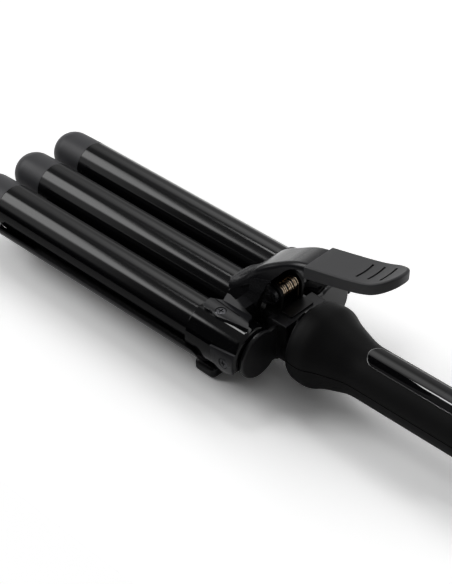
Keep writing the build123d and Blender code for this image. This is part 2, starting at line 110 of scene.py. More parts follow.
def ramp(tree, value, low, high, atLow, atHigh):
    # a smooth step between two levels
    return addNode(tree, "ShaderNodeMapRange", inputs={"Value": value, "From Min": low, "From Max": high,
        "To Min": atLow, "To Max": atHigh}, interpolation_type="SMOOTHSTEP").outputs["Result"]


def vectorOf(tree, x=0.0, y=0.0, z=0.0):
    return addNode(tree, "ShaderNodeCombineXYZ", inputs={"X": x, "Y": y, "Z": z}).outputs["Vector"]


def axesOf(tree, vector):
    split = addNode(tree, "ShaderNodeSeparateXYZ", inputs={"Vector": vector})
    return [split.outputs[axis] for axis in "XYZ"]


def mixColours(tree, x, y, mask, first, second):
    # inputs 6 and 7 and output 2 are this node's colours
    return addNode(tree, "ShaderNodeMix", x, y, {"Factor": mask, 6: first, 7: second},
                   data_type="RGBA").outputs[2]


# shared effects

grainLook = {"middle": 0.5, "spotRoughness": 0.05, "spotTone": 0.15}


def buildMouldGrain(look):
    # fine spark-eroded grain of a moulded part, with a slow drift in tone and gloss
    tree, start, end = newGroup("mouldGrain", "ShaderNodeTree",
        [("Grain Size", "Float", 0.3), ("Drift Size", "Float", 20.0), ("Roughness", "Float", 0.5),
         ("Roughness Drift", "Float", 0.06), ("Colour", "Color", (0.02, 0.02, 0.02, 1)),
         ("Tone Drift", "Float", 0.12)],
        [("Colour", "Color"), ("Roughness", "Float"), ("Height", "Float")])
    given = start.outputs
    coords = addNode(tree, "ShaderNodeTexCoord", -900, -300).outputs["Object"]
    grain = addNode(tree, "ShaderNodeTexNoise", -500, -200, {"Vector": coords, "Detail": 2.0, "Roughness": 0.6,
        "Scale": mathNode(tree, "DIVIDE", 1 / mm, given["Grain Size"])}).outputs["Fac"]
    drift = addNode(tree, "ShaderNodeTexNoise", -500, 200, {"Vector": coords, "Detail": 3.0, "Roughness": 0.55,
        "Scale": mathNode(tree, "DIVIDE", 1 / mm, given["Drift Size"])}).outputs["Fac"]
    centred = mathNode(tree, "SUBTRACT", drift, look["middle"])
    spots = mathNode(tree, "SUBTRACT", grain, look["middle"])
    rough = mathNode(tree, "MULTIPLY_ADD", centred, given["Roughness Drift"], given["Roughness"])
    tone = mathNode(tree, "MULTIPLY_ADD", spots, look["spotTone"], times(tree, centred, given["Tone Drift"]))
    toned = addNode(tree, "ShaderNodeVectorMath", 500, 200, {0: given["Colour"],
        "Scale": mathNode(tree, "ADD", tone, 1.0)}, operation="SCALE")
    setInput(tree, end.inputs["Colour"], toned.outputs["Vector"])
    setInput(tree, end.inputs["Roughness"],
             mathNode(tree, "MULTIPLY_ADD", spots, look["spotRoughness"], rough, clamp=True))
    setInput(tree, end.inputs["Height"], grain)
    return tree


wipeLook = {"smearScale": 70.0, "smearMiddle": 0.45, "peelScale": 320.0, "speckFrom": 0.73, "speckTo": 0.8,
            "speckRoughness": 0.5}


def buildWipeMarks(look):
    # faint wipe marks, orange peel and dust specks of a glossy surface
    tree, start, end = newGroup("wipeMarks", "ShaderNodeTree",
        [("Roughness", "Float", 0.1), ("Smear", "Float", 0.05), ("Speck Size", "Float", 0.35),
         ("Speck Amount", "Float", 0.2), ("Stretch", "Vector", (1.0, 1.0, 1.0))],
        [("Roughness", "Float"), ("Dust", "Float"), ("Height", "Float")])
    given = start.outputs
    coords = addNode(tree, "ShaderNodeTexCoord", -900, -300).outputs["Object"]
    stretched = addNode(tree, "ShaderNodeVectorMath", -700, -200, {0: coords, 1: given["Stretch"]},
                        operation="MULTIPLY").outputs["Vector"]
    smear = addNode(tree, "ShaderNodeTexNoise", -400, 200, {"Vector": stretched, "Scale": look["smearScale"],
        "Detail": 4.0, "Roughness": 0.6, "Distortion": 0.6}).outputs["Fac"]
    peel = addNode(tree, "ShaderNodeTexNoise", -400, -100, {"Vector": coords, "Scale": look["peelScale"],
        "Detail": 1.0}).outputs["Fac"]
    specks = addNode(tree, "ShaderNodeTexNoise", -400, -400, {"Vector": coords, "Detail": 0.0,
        "Scale": mathNode(tree, "DIVIDE", 1 / mm, given["Speck Size"])}).outputs["Fac"]
    dust = times(tree, ramp(tree, specks, look["speckFrom"], look["speckTo"], 0.0, 1.0), given["Speck Amount"])
    centred = mathNode(tree, "SUBTRACT", smear, look["smearMiddle"])
    rough = mathNode(tree, "MULTIPLY_ADD", centred, given["Smear"], given["Roughness"])
    setInput(tree, end.inputs["Roughness"],
             mathNode(tree, "MULTIPLY_ADD", dust, look["speckRoughness"], rough, clamp=True))
    setInput(tree, end.inputs["Dust"], dust)
    setInput(tree, end.inputs["Height"], peel)
    return tree


rubAndHighlightLook = {"sharpFrom": 0.52, "sharpTo": 0.62, "patchScale": 260.0}


def buildRubbedAndLitEdges(look):
    # lightened rims where a coating or plastic is rubbed; where the amount is high they are a painted edge
    # highlight as well
    tree, start, end = newGroup("rubbedAndLitEdges", "ShaderNodeTree",
        [("Base Colour", "Color", (0.02, 0.02, 0.02, 1)), ("Worn And Lit Colour", "Color", (0.06, 0.06, 0.06, 1)),
         ("Amount", "Float", 0.5)],
        [("Colour", "Color")])
    given = start.outputs
    pointed = addNode(tree, "ShaderNodeNewGeometry", -900, 200).outputs["Pointiness"]
    coords = addNode(tree, "ShaderNodeTexCoord", -900, -200).outputs["Object"]
    patches = addNode(tree, "ShaderNodeTexNoise", -600, -200, {"Vector": coords, "Scale": look["patchScale"],
        "Detail": 3.0}).outputs["Fac"]
    broken = times(tree, ramp(tree, pointed, look["sharpFrom"], look["sharpTo"], 0.0, 1.0), patches)
    mask = mathNode(tree, "MULTIPLY", broken, given["Amount"], clamp=True)
    setInput(tree, end.inputs["Colour"],
             mixColours(tree, 400, 100, mask, given["Base Colour"], given["Worn And Lit Colour"]))
    return tree


mouldGrain = buildMouldGrain(grainLook)
wipeMarks = buildWipeMarks(wipeLook)
rubbedAndLitEdges = buildRubbedAndLitEdges(rubAndHighlightLook)


# materials

bumpDepth = {"moulded": 0.05, "smooth": 0.03}
dustShade = (0.12, 0.12, 0.115, 1)


def startMaterial(name):
    material = bpy.data.materials.new(name)
    material.use_nodes = True
    return material, material.node_tree, material.node_tree.nodes["Principled BSDF"]


def addBump(tree, shader, height, strength, depth):
    bump = addNode(tree, "ShaderNodeBump", -300, -300, {"Strength": strength, "Distance": depth * mm,
        "Height": height})
    setInput(tree, shader.inputs["Normal"], bump.outputs["Normal"])


def addGrain(tree, shader, settings, depth):
    # grain in gloss and bump; its colour is used by the material
    grain = addNode(tree, "ShaderNodeGroup", -900, 0, node_tree=mouldGrain, inputs={
        "Grain Size": settings["grain"], "Drift Size": settings["drift"], "Roughness": settings["roughness"],
        "Roughness Drift": settings["roughDrift"], "Colour": (*settings["shade"], 1),
        "Tone Drift": settings["toneDrift"]})
    setInput(tree, shader.inputs["Roughness"], grain.outputs["Roughness"])
    addBump(tree, shader, grain.outputs["Height"], settings["bump"], depth)
    return grain.outputs["Colour"]


def mouldedPlastic(name, settings):
    # grain in tone, gloss and bump, with rims lighter: rubbing, and on the neck and stop a painted edge
    # highlight
    material, tree, shader = startMaterial(name)
    wornAndLit = tuple(min(1.0, value * settings["wornAndLitGain"]) for value in settings["shade"])
    edges = addNode(tree, "ShaderNodeGroup", -500, 200, node_tree=rubbedAndLitEdges, inputs={
        "Base Colour": addGrain(tree, shader, settings, bumpDepth["moulded"]), "Worn And Lit Colour": (*wornAndLit, 1),
        "Amount": settings["wearAndHighlight"]})
    setInput(tree, shader.inputs["Base Color"], edges.outputs["Colour"])
    shader.inputs["IOR"].default_value = settings["ior"]
    return material


def glossSurface(name, settings):
    # a smooth gloss with faint wipe marks, orange peel and a few specks of dust
    material, tree, shader = startMaterial(name)
    wiped = addNode(tree, "ShaderNodeGroup", -900, 0, node_tree=wipeMarks, inputs={
        "Roughness": settings["roughness"], "Smear": settings["smear"], "Speck Size": settings["speck"],
        "Speck Amount": settings["dust"], "Stretch": settings["stretch"]})
    setInput(tree, shader.inputs["Base Color"],
             mixColours(tree, -400, 200, wiped.outputs["Dust"], (*settings["shade"], 1), dustShade))
    setInput(tree, shader.inputs["Roughness"], wiped.outputs["Roughness"])
    addBump(tree, shader, wiped.outputs["Height"], settings["peel"], bumpDepth["smooth"])
    shader.inputs["IOR"].default_value = settings["ior"]
    return material


def metalSurface(name, settings):
    # metal with fine scratches in its gloss and a slow drift in colour
    material, tree, shader = startMaterial(name)
    setInput(tree, shader.inputs["Base Color"], addGrain(tree, shader, settings, bumpDepth["smooth"]))
    shader.inputs["Metallic"].default_value = 1.0
    return material


# each finish states what differs from the usual values of its kind
usualGloss = {"smear": 0.04, "speck": 0.4, "dust": 0.05, "peel": 0.1, "stretch": (1, 1, 1), "ior": 1.38}
glosses = {
    "barrelCoating": {"shade": (0.002, 0.002, 0.0025), "roughness": 0.11, "smear": 0.12, "speck": 0.5,
                      "peel": 0.08, "stretch": (0.03, 2.2, 2.2)},
    "plateCoating": {"shade": (0.003, 0.003, 0.0035), "roughness": 0.16, "smear": 0.05, "speck": 0.5,
                     "dust": 0.06},
    "pianoBlack": {"shade": (0.0015, 0.0015, 0.002), "roughness": 0.05, "dust": 0.1, "peel": 0.12},
    "rimGloss": {"shade": (0.004, 0.004, 0.005), "roughness": 0.12, "peel": 0.05, "ior": 2.0},
    "panelGloss": {"shade": (0.002, 0.002, 0.0025), "roughness": 0.05, "dust": 0.06},
    "lensSmoke": {"shade": (0.004, 0.004, 0.006), "roughness": 0.04, "smear": 0.03, "peel": 0.03},
    "buttonGloss": {"shade": (0.006, 0.006, 0.007), "roughness": 0.22, "smear": 0.08, "dust": 0.08},
}
usualPlastic = {"grain": 0.3, "drift": 15, "roughDrift": 0.1, "toneDrift": 0.2, "wornAndLitGain": 2.0, "wearAndHighlight": 0.3,
                "bump": 0.2, "ior": 1.38}
plastics = {
    "tipPlastic": {"shade": (0.034, 0.034, 0.038), "grain": 0.25, "drift": 12, "roughness": 0.45,
                   "wornAndLitGain": 1.8, "bump": 0.35},
    "leverPlastic": {"shade": (0.04, 0.04, 0.042), "grain": 0.25, "roughness": 0.5, "roughDrift": 0.08,
                     "toneDrift": 0.15, "wearAndHighlight": 0.4, "bump": 0.3},
    "yokeSatin": {"shade": (0.012, 0.012, 0.0135), "drift": 18, "roughness": 0.2, "roughDrift": 0.06,
                  "toneDrift": 0.12, "bump": 0.08, "ior": 1.32},
    "coverSatin": {"shade": (0.018, 0.018, 0.02), "roughness": 0.22, "roughDrift": 0.08, "toneDrift": 0.12},
    "headSatin": {"shade": (0.009, 0.009, 0.0098), "roughness": 0.3, "roughDrift": 0.08, "toneDrift": 0.15,
                  "wornAndLitGain": 2.4, "wearAndHighlight": 0.4},
    # the neck and stop rims are made far lighter than wear would make them: a painted edge highlight
    "neckBlack": {"shade": (0.0025, 0.0025, 0.0028), "roughness": 0.3, "roughDrift": 0.08, "toneDrift": 0.15,
                  "wornAndLitGain": 9.0, "wearAndHighlight": 1.6, "ior": 1.25},
    "softTouch": {"shade": (0.0085, 0.0085, 0.0088), "grain": 0.18, "drift": 30, "roughness": 0.55,
                  "roughDrift": 0.08, "toneDrift": 0.12, "wornAndLitGain": 1.5, "wearAndHighlight": 0.2, "bump": 0.25,
                  "ior": 1.18},
    "basePlastic": {"shade": (0.003, 0.003, 0.0035), "grain": 0.35, "drift": 20, "roughness": 0.16,
                    "toneDrift": 0.15},
    "cordRubber": {"shade": (0.012, 0.012, 0.012), "grain": 0.4, "roughness": 0.7, "wornAndLitGain": 1.6,
                   "wearAndHighlight": 0.2, "bump": 0.3},
    "boardGreen": {"shade": (0.03, 0.16, 0.06), "grain": 0.5, "drift": 10, "roughness": 0.4,
                   "toneDrift": 0.3, "wornAndLitGain": 1.5},
    "switchBody": {"shade": (0.03, 0.03, 0.03), "grain": 0.4, "drift": 6, "roughness": 0.5,
                   "wornAndLitGain": 1.8, "wearAndHighlight": 0.4},
    "sensorBead": {"shade": (0.5, 0.4, 0.25), "grain": 0.4, "drift": 5, "roughness": 0.25,
                   "wornAndLitGain": 1.3, "wearAndHighlight": 0.2, "bump": 0.1},
    "bracketBlack": {"shade": (0.0025, 0.0025, 0.0026), "drift": 8, "roughness": 0.45, "wornAndLitGain": 2.5,
                     "wearAndHighlight": 0.5, "ior": 1.2},
    "markPrint": {"shade": (0.42, 0.43, 0.44), "grain": 0.2, "drift": 5, "roughness": 0.45,
                  "toneDrift": 0.1, "wornAndLitGain": 1.2, "wearAndHighlight": 0.1, "bump": 0.1},
}
usualMetal = {"grain": 0.2, "drift": 3, "roughDrift": 0.12, "toneDrift": 0.2, "bump": 0.2}
metals = {
    "screwZinc": {"shade": (0.07, 0.07, 0.075), "roughness": 0.3, "toneDrift": 0.3},
    "pinSteel": {"shade": (0.045, 0.045, 0.047), "drift": 4, "roughness": 0.35},
    "springWire": {"shade": (0.86, 0.7, 0.52), "grain": 0.15, "roughness": 0.16, "roughDrift": 0.1,
                   "toneDrift": 0.3, "bump": 0.15},
    "heaterMetal": {"shade": (0.6, 0.6, 0.6), "grain": 0.4, "drift": 8, "roughness": 0.45,
                    "roughDrift": 0.15, "bump": 0.3},
}
finishes = {}
for makeFinish, usual, kinds in ((glossSurface, usualGloss, glosses), (mouldedPlastic, usualPlastic, plastics),
                                 (metalSurface, usualMetal, metals)):
    for name, settings in kinds.items():
        finishes[name] = makeFinish(name, {**usual, **settings})
print("finishes:", len(finishes))

nodeFinish = {
    "barrelCoating": ["barrel_front", "barrel_middle", "barrel_rear"],
    "tipPlastic": ["tip_front", "tip_middle", "tip_rear"],
    "heaterMetal": ["heater_front", "heater_middle", "heater_rear"],
    "sensorBead": ["temperature_sensor"],
    "pianoBlack": ["sleeve_front", "sleeve_rear", "neck_collar"],
    "coverSatin": ["lower_cover_front", "lower_cover_rear"],
    "screwZinc": ["side_screws", "yoke_screws", "base_screws"],
    "yokeSatin": ["jaw_yoke"],
    "leverPlastic": ["thumb_lever"],
    "bracketBlack": ["hinge_bracket"],
    "pinSteel": ["hinge_pin", "pin_clips"],
    "springWire": ["torsion_spring"],
    "headSatin": ["head_housing"],
    "neckBlack": ["neck_block", "lever_stop"],
    "softTouch": ["handle_upper_shell", "handle_lower_shell", "handle_end_cap"],
    "panelGloss": ["control_panel"],
    "lensSmoke": ["display_lens"],
    "boardGreen": ["circuit_board"],
    "switchBody": ["tact_switches"],
    "buttonGloss": ["power_button", "temp_up_button", "temp_down_button"],
    "cordRubber": ["cord_inlet"],
    "plateCoating": ["lower_plate"],
    "basePlastic": ["lower_base"],
}
for finish, names in nodeFinish.items():
    for name in names:
        for slot in nodes[name].material_slots:
            slot.material = finishes[finish]
print("nodes finished:", sum(len(names) for names in nodeFinish.values()))


# pieces made with geometry nodes

def newTree(name, *rows):
    # each row is a kind of socket and then the inputs of that kind
    inputs = [(label, kind, None) for kind, *labels in rows for label in labels]
    return newGroup(name, "GeometryNodeTree", inputs + [("Material", "Material", None)],
                    [("Geometry", "Geometry")])


def endTree(tree, start, end, geometry):
    # real faces with the material named by the input
    realize = addNode(tree, "GeometryNodeRealizeInstances", 500, 0, {"Geometry": geometry})
    finish = addNode(tree, "GeometryNodeSetMaterial", 700, 0, {"Geometry": realize.outputs["Geometry"],
        "Material": start.outputs["Material"]})
    setInput(tree, end.inputs["Geometry"], finish.outputs["Geometry"])
    return tree


def readFacing(tree):
    return addNode(tree, "GeometryNodeInputNamedAttribute", -300, -600, {"Name": "facing"},
                   data_type="FLOAT_VECTOR").outputs["Attribute"]


def sweepCurve(tree, curve, profile, capped=False):
    return addNode(tree, "GeometryNodeCurveToMesh", 100, 100, {"Curve": curve, "Profile Curve": profile,
        "Fill Caps": capped}).outputs["Mesh"]


def moveBy(tree, geometry, translation, rotation=(0, 0, 0)):
    return addNode(tree, "GeometryNodeTransform", 300, 100, {"Geometry": geometry, "Translation": translation,
        "Rotation": rotation}).outputs["Geometry"]


mergeWithin = 0.001   # closer points of a grown piece become one


def growPiece(name, tree, values, material, base=None):
    # runs the tree on a base mesh and keeps the result as a plain mesh
    piece = addObject(name, base or bpy.data.meshes.new(name + "Base"))
    modifier = piece.modifiers.new("grow", "NODES")
    modifier.node_group = tree
    values = {**values, "Material": material}
    for item in tree.interface.items_tree:
        if item.in_out == "INPUT" and item.name in values:
            modifier[item.identifier] = values[item.name]
    depsgraph = bpy.context.evaluated_depsgraph_get()
    depsgraph.update()
    made = bpy.data.meshes.new_from_object(piece.evaluated_get(depsgraph), depsgraph=depsgraph)
    piece.modifiers.remove(modifier)
    piece.data = made
    work = bmesh.new()
    work.from_mesh(made)
    bmesh.ops.remove_doubles(work, verts=work.verts, dist=mergeWithin * mm)
    bmesh.ops.recalc_face_normals(work, faces=work.faces)
    work.to_mesh(made)
    work.free()
    return piece


def pointMesh(name, points, vectors):
    # loose points, each with the vector that the tree reads as "facing"
    mesh = bpy.data.meshes.new(name)
    mesh.from_pydata(points, [], [])
    layer = mesh.attributes.new("facing", "FLOAT_VECTOR", "POINT")
    layer.data.foreach_set("vector", [value for vector in vectors for value in vector])
    return mesh


barrels = {"radius": 11.0, "wall": 0.8, "start": 13.5, "outerEnd": 162.0, "middleEnd": 150.0,
           "pitch": 25.8, "rim": 0.25, "rimSteps": 4, "sides": 160, "shadeAngle": 5}


def barrelTree(settings):
    # a tube with rounded rims on each point, its length scaled by the point's "facing"
    tree, start, end = newTree("barrelRow", ("Geometry", "Geometry"),
                               ("Float", "Radius", "Wall", "Length", "Rim"), ("Int", "Sides"))
    given = start.outputs
    path = addNode(tree, "GeometryNodeCurvePrimitiveCircle", -600, 300, {"Resolution": given["Sides"],
        "Radius": mathNode(tree, "SUBTRACT", given["Radius"], times(tree, given["Wall"], 0.5))})
    profile = addNode(tree, "GeometryNodeCurvePrimitiveQuadrilateral", -600, 0, {"Width": given["Wall"],
        "Height": given["Length"]})
    fillet = addNode(tree, "GeometryNodeFilletCurve", -400, 0, {"Curve": profile.outputs["Curve"],
        "Count": settings["rimSteps"], "Radius": given["Rim"]}, mode="POLY")
    tube = sweepCurve(tree, path.outputs["Curve"], fillet.outputs["Curve"])
    # stood on its start and laid along x
    laid = moveBy(tree, tube, vectorOf(tree, times(tree, given["Length"], 0.5)), (0, math.radians(90), 0))
    row = addNode(tree, "GeometryNodeInstanceOnPoints", 400, 0, {"Points": given["Geometry"],
        "Instance": laid, "Scale": readFacing(tree)})
    return endTree(tree, start, end, row.outputs["Instances"])


def addBarrels(settings):
    length = settings["outerEnd"] - settings["start"]
    short = (settings["middleEnd"] - settings["start"]) / length
    points = [place(settings["start"], side * settings["pitch"], 0) for side in (-1, 0, 1)]
    base = pointMesh("barrelPoints", points, [(1, 1, 1), (short, 1, 1), (1, 1, 1)])
    values = {"Radius": settings["radius"] * mm, "Wall": settings["wall"] * mm, "Length": length * mm,
              "Rim": settings["rim"] * mm, "Sides": settings["sides"]}
    piece = growPiece("barrels", barrelTree(settings), values, finishes["barrelCoating"], base)
    shadeByAngle(piece, settings["shadeAngle"])
    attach(piece, "jaw")
    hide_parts("barrel_front", "barrel_middle", "barrel_rear")


addBarrels(barrels)
print("barrels ready")


spring = {"turns": 8.5, "coilRadius": 3.15, "wireRadius": 0.29, "halfLength": 5.0, "packs": 3.0,
          "bunching": 0.21, "hingeX": 166.0, "hingeZ": 19.0, "legBottom": 10.4, "pointsAlong": 420,
          "wireSides": 14, "shadeAngle": 50}


def springTree(settings):
    # a coil about y whose turns bunch into packs, with a straight leg down from each end
    tree, start, end = newTree("torsionSpring", ("Float", "Turns", "Coil Radius", "Wire Radius",
        "Half Length", "Packs", "Bunching", "Leg"), ("Int", "Points"), ("Vector", "Centre"))
    given = start.outputs
    radius = given["Coil Radius"]
    halfLength = given["Half Length"]
    line = addNode(tree, "GeometryNodeCurvePrimitiveLine", -700, 300)
    dense = addNode(tree, "GeometryNodeResampleCurve", -500, 300, {"Curve": line.outputs["Curve"],
        "Count": given["Points"]})
    factor = addNode(tree, "GeometryNodeSplineParameter", -900, 600).outputs["Factor"]
    angle = times(tree, factor, given["Turns"], fullTurn)
    across = times(tree, mathNode(tree, "COSINE", angle), radius, -1.0)
    height = times(tree, mathNode(tree, "SINE", angle), radius)
    wave = mathNode(tree, "SINE", times(tree, factor, given["Packs"], fullTurn))
    even = times(tree, mathNode(tree, "MULTIPLY_ADD", factor, 2.0, -1.0), halfLength)
    along = mathNode(tree, "MULTIPLY_ADD", wave, given["Bunching"], even)
    coil = addNode(tree, "GeometryNodeSetPosition", -200, 300, {"Geometry": dense.outputs["Curve"],
        "Position": vectorOf(tree, across, along, height)})
    joined = addNode(tree, "GeometryNodeJoinGeometry", 0, 200, {"Geometry": coil.outputs["Geometry"]})
    for side in (-1.0, 1.0):
        legX = times(tree, radius, side)
        legY = times(tree, halfLength, side)
        leg = addNode(tree, "GeometryNodeCurvePrimitiveLine", -200, -300, {"Start": vectorOf(tree, legX, legY),
            "End": vectorOf(tree, legX, legY, times(tree, given["Leg"], -1.0))})
        setInput(tree, joined.inputs["Geometry"], leg.outputs["Curve"])
    wire = addNode(tree, "GeometryNodeCurvePrimitiveCircle", 0, -100, {"Resolution": settings["wireSides"],
        "Radius": given["Wire Radius"]})
    swept = sweepCurve(tree, joined.outputs["Geometry"], wire.outputs["Curve"], capped=True)
    return endTree(tree, start, end, moveBy(tree, swept, given["Centre"]))


def addSpring(settings):
    values = {"Turns": settings["turns"], "Coil Radius": settings["coilRadius"] * mm,
              "Wire Radius": settings["wireRadius"] * mm, "Half Length": settings["halfLength"] * mm,
              "Packs": settings["packs"], "Bunching": settings["bunching"] * mm,
              "Leg": (settings["hingeZ"] - settings["legBottom"]) * mm, "Points": settings["pointsAlong"],
              "Centre": place(settings["hingeX"], 0, settings["hingeZ"])}
    piece = growPiece("hingeSpring", springTree(settings), values, finishes["springWire"])
    shadeByAngle(piece, settings["shadeAngle"])
    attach(piece, "handle")
    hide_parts("torsion_spring")


addSpring(spring)
print("spring ready")


# the wing and lug screws are given as x, distance to each side, z, and the foot ones as x

screws = {"headRadius": 2.45, "headHeight": 0.96, "dome": 0.22, "edge": 0.16, "edgeFrom": 0.88,
          "slotLength": 2.9, "slotWidth": 0.62, "slotDepth": 0.75, "sides": 48, "rings": 8, "seed": 5,
          "mostSpin": 6.2832, "shadeAngle": 30, "wing": (153, 26.5, 13.4), "lug": (166.5, 38.9, 0),
          "foot": (104, 132), "footZ": -22.7}


def screwTree(settings):
    # a low domed head with a cross recess on each point, turned along "facing" and spun at random
    tree, start, end = newTree("screwHeads", ("Geometry", "Geometry"), ("Float", "Radius", "Height",
        "Dome", "Edge", "Slot Length", "Slot Width", "Slot Depth"), ("Int", "Seed"))
    given = start.outputs
    disc = addNode(tree, "GeometryNodeMeshCylinder", -700, 300, {"Vertices": settings["sides"],
        "Fill Segments": settings["rings"], "Side Segments": 1, "Radius": given["Radius"],
        "Depth": given["Height"]})
    # the top falls away towards its rim, and its last ring rounds the edge
    x, y, z = axesOf(tree, addNode(tree, "GeometryNodeInputPosition", -900, 600).outputs["Position"])
    squares = [mathNode(tree, "POWER", value, 2.0) for value in (x, y)]
    share = mathNode(tree, "DIVIDE", mathNode(tree, "SQRT", mathNode(tree, "ADD", *squares)), given["Radius"])
    fall = times(tree, mathNode(tree, "POWER", share, 2.0), given["Dome"])
    rounded = times(tree, ramp(tree, share, settings["edgeFrom"], 1.0, 0.0, 1.0), given["Edge"])
    onTop = mathNode(tree, "GREATER_THAN", z, 0.0)
    down = times(tree, mathNode(tree, "ADD", fall, rounded), -1.0, onTop)
    domed = addNode(tree, "GeometryNodeSetPosition", -400, 300, {"Geometry": disc.outputs["Mesh"],
        "Offset": vectorOf(tree, z=down)})
    cut = addNode(tree, "GeometryNodeMeshBoolean", -100, 200, {"Mesh 1": domed.outputs["Geometry"]},
                  operation="DIFFERENCE", solver="EXACT")
    top = vectorOf(tree, z=times(tree, given["Height"], 0.5))
    slot = (given["Slot Length"], given["Slot Width"])
    for sizeX, sizeY in (slot, slot[::-1]):
        size = vectorOf(tree, sizeX, sizeY, times(tree, given["Slot Depth"], 2.0))
        block = addNode(tree, "GeometryNodeMeshCube", -400, -200, {"Size": size})
        setInput(tree, cut.inputs["Mesh 2"], moveBy(tree, block.outputs["Mesh"], top))
    aim = addNode(tree, "FunctionNodeAlignRotationToVector", -100, -500, {"Vector": readFacing(tree)}, axis="Z")
    # input 3 and output 1 are this node's plain number sockets
    spin = addNode(tree, "FunctionNodeRandomValue", -100, -700, {3: settings["mostSpin"],
        "Seed": given["Seed"]}, data_type="FLOAT")
    heads = addNode(tree, "GeometryNodeInstanceOnPoints", 150, 0, {"Points": given["Geometry"],
        "Instance": cut.outputs["Mesh"], "Rotation": aim.outputs["Rotation"]})
    twist = addNode(tree, "GeometryNodeRotateInstances", 300, 0, {"Instances": heads.outputs["Instances"],
        "Rotation": vectorOf(tree, z=spin.outputs[1])})
    return endTree(tree, start, end, twist.outputs["Instances"])


def addScrews(settings):
    heads = screwTree(settings)
    values = {"Radius": settings["headRadius"] * mm, "Height": settings["headHeight"] * mm,
              "Dome": settings["dome"] * mm, "Edge": settings["edge"] * mm,
              "Slot Length": settings["slotLength"] * mm, "Slot Width": settings["slotWidth"] * mm,
              "Slot Depth": settings["slotDepth"] * mm, "Seed": settings["seed"]}
    jawPoints = [place(x, side * y, z) for x, y, z in (settings["wing"], settings["lug"]) for side in (-1, 1)]
    jawFacing = [(0, 0, 1), (0, 0, 1), (0, -1, 0), (0, 1, 0)]
    footPoints = [place(x, 0, settings["footZ"]) for x in settings["foot"]]
    for name, points, facing, body, replaced in (
            ("jawScrews", jawPoints, jawFacing, "jaw", ("yoke_screws", "side_screws")),
            ("baseScrews", footPoints, [(0, 0, -1)] * 2, "handle", ("base_screws",))):
        base = pointMesh(name + "Points", points, facing)
        piece = growPiece(name, heads, values, finishes["screwZinc"], base)
        shadeByAngle(piece, settings["shadeAngle"])
        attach(piece, body)
        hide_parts(*replaced)


addScrews(screws)
print("screws ready")


panelRim = {"start": 214.5, "end": 314.0, "width": 12.8, "shellRadius": 12.3, "axisZ": -0.9, "bead": 0.24,
            "lift": 0.06, "spacing": 0.5, "cornerShare": 0.499, "cornerSteps": 16, "beadSides": 12,
            "shadeAngle": 60}


def rimTree(settings):
    # a bead round a long slot, wrapped over a cylinder along x
    tree, start, end = newTree("wrappedRim", ("Float", "Length", "Width", "Cylinder Radius", "Bead",
        "Spacing"), ("Vector", "Centre"))
    given = start.outputs
    outline = addNode(tree, "GeometryNodeCurvePrimitiveQuadrilateral", -700, 200, {"Width": given["Length"],
        "Height": given["Width"]})
    fillet = addNode(tree, "GeometryNodeFilletCurve", -500, 200, {"Curve": outline.outputs["Curve"],
        "Count": settings["cornerSteps"], "Radius": times(tree, given["Width"], settings["cornerShare"])},
        mode="POLY")
    dense = addNode(tree, "GeometryNodeResampleCurve", -300, 200, {"Curve": fillet.outputs["Curve"],
        "Length": given["Spacing"]}, mode="LENGTH")
    # seen from above the slot keeps its outline, so the height alone follows the cylinder
    x, y = axesOf(tree, addNode(tree, "GeometryNodeInputPosition", -900, 600).outputs["Position"])[:2]
    radius = given["Cylinder Radius"]
    square = mathNode(tree, "SUBTRACT", times(tree, radius, radius), times(tree, y, y))
    wrap = addNode(tree, "GeometryNodeSetPosition", -100, 200, {"Geometry": dense.outputs["Curve"],
        "Position": vectorOf(tree, x, y, mathNode(tree, "SQRT", square))})
    bead = addNode(tree, "GeometryNodeCurvePrimitiveCircle", -100, 0, {"Resolution": settings["beadSides"],
        "Radius": given["Bead"]})
    swept = sweepCurve(tree, wrap.outputs["Geometry"], bead.outputs["Curve"])
    return endTree(tree, start, end, moveBy(tree, swept, given["Centre"]))


def addPanelRim(settings):
    middle = (settings["start"] + settings["end"]) / 2
    values = {"Length": (settings["end"] - settings["start"]) * mm, "Width": settings["width"] * mm,
              "Cylinder Radius": (settings["shellRadius"] + settings["lift"]) * mm,
              "Bead": settings["bead"] * mm, "Spacing": settings["spacing"] * mm,
              "Centre": place(middle, 0, settings["axisZ"])}
    piece = growPiece("panelRim", rimTree(settings), values, finishes["rimGloss"])
    shadeByAngle(piece, settings["shadeAngle"])
    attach(piece, "handle")


addPanelRim(panelRim)
print("panel rim ready")


# the upturned front edge of each trough of the lower plate

plateLip = {"start": 15.2, "end": 16.2, "inner": 11.12, "outer": 13.35, "drop": 0.94, "from": 199,
            "to": 341, "steps": 56, "round": 0.2, "roundSteps": 2, "roundAngle": 50, "shadeAngle": 40}


def addPlateLip(settings):
    work = bmesh.new()
    for side in (-1, 0, 1):
        centre = side * barrels["pitch"]
        rings = []
        for step in range(settings["steps"] + 1):
            turned = settings["from"] + (settings["to"] - settings["from"]) * step / settings["steps"]
            across = math.cos(math.radians(turned))
            up = math.sin(math.radians(turned))
            inner = (centre + settings["inner"] * across, settings["inner"] * up)
            outer = (centre + settings["outer"] * across, settings["outer"] * up - settings["drop"])
            rings.append([work.verts.new(place(settings[edge], *corner)) for edge, corner in (
                ("start", inner), ("end", inner), ("end", outer), ("start", outer))])
        for a, b in zip(rings, rings[1:]):
            for index in range(4):
                after = (index + 1) % 4
                work.faces.new((a[index], a[after], b[after], b[index]))
        work.faces.new(rings[0])
        work.faces.new(rings[-1])
    bmesh.ops.recalc_face_normals(work, faces=work.faces)
    piece = finishMesh(work, "plateLip", finishes["plateCoating"])
    rounding = piece.modifiers.new("round", "BEVEL")
    rounding.width = settings["round"] * mm
    rounding.segments = settings["roundSteps"]
    rounding.angle_limit = math.radians(settings["roundAngle"])
    shadeByAngle(piece, settings["shadeAngle"])
    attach(piece, "handle")


addPlateLip(plateLip)
print("plate lip ready")


# moulded pieces whose corners are rounded a little: the body each rides on, and how wide

